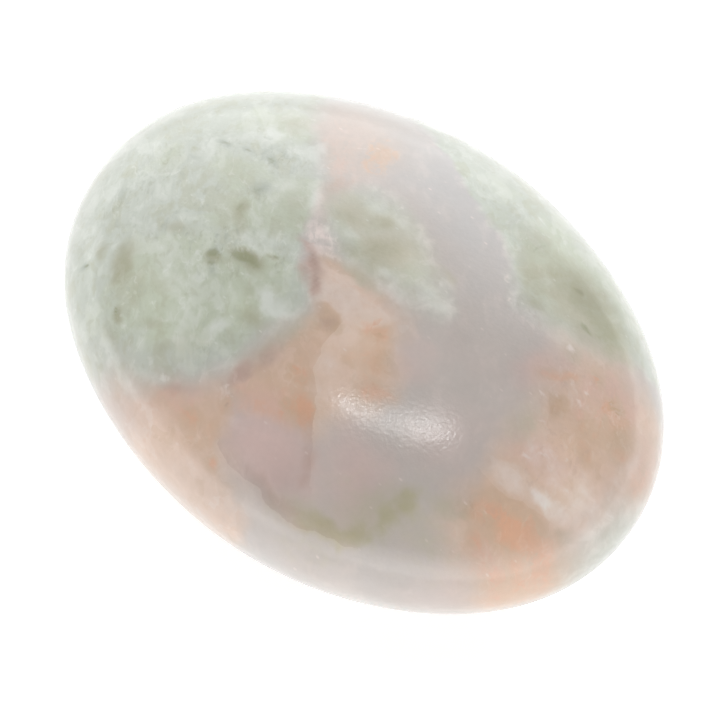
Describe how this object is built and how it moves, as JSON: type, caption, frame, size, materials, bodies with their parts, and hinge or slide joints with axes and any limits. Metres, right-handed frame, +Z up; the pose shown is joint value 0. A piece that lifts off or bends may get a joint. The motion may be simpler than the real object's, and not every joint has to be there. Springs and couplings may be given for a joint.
{
  "type": "calcite palm stone",
  "caption": "Smooth oval palm stone of polished banded calcite with a small flat on its belly to rest on.",
  "frame": {"origin": "middle of the footprint, on the plane that the resting flat lies in", "axes": "+X along the long axis, +Y across the width, +Z up through the thickness"},
  "size_m": [0.066, 0.0488, 0.023],
  "materials": {
    "polished_calcite": "hand polished, soft gloss"
  },
  "bodies": {
    "root": {"palm_stone": "polished_calcite"}
  },
  "joints": []
}
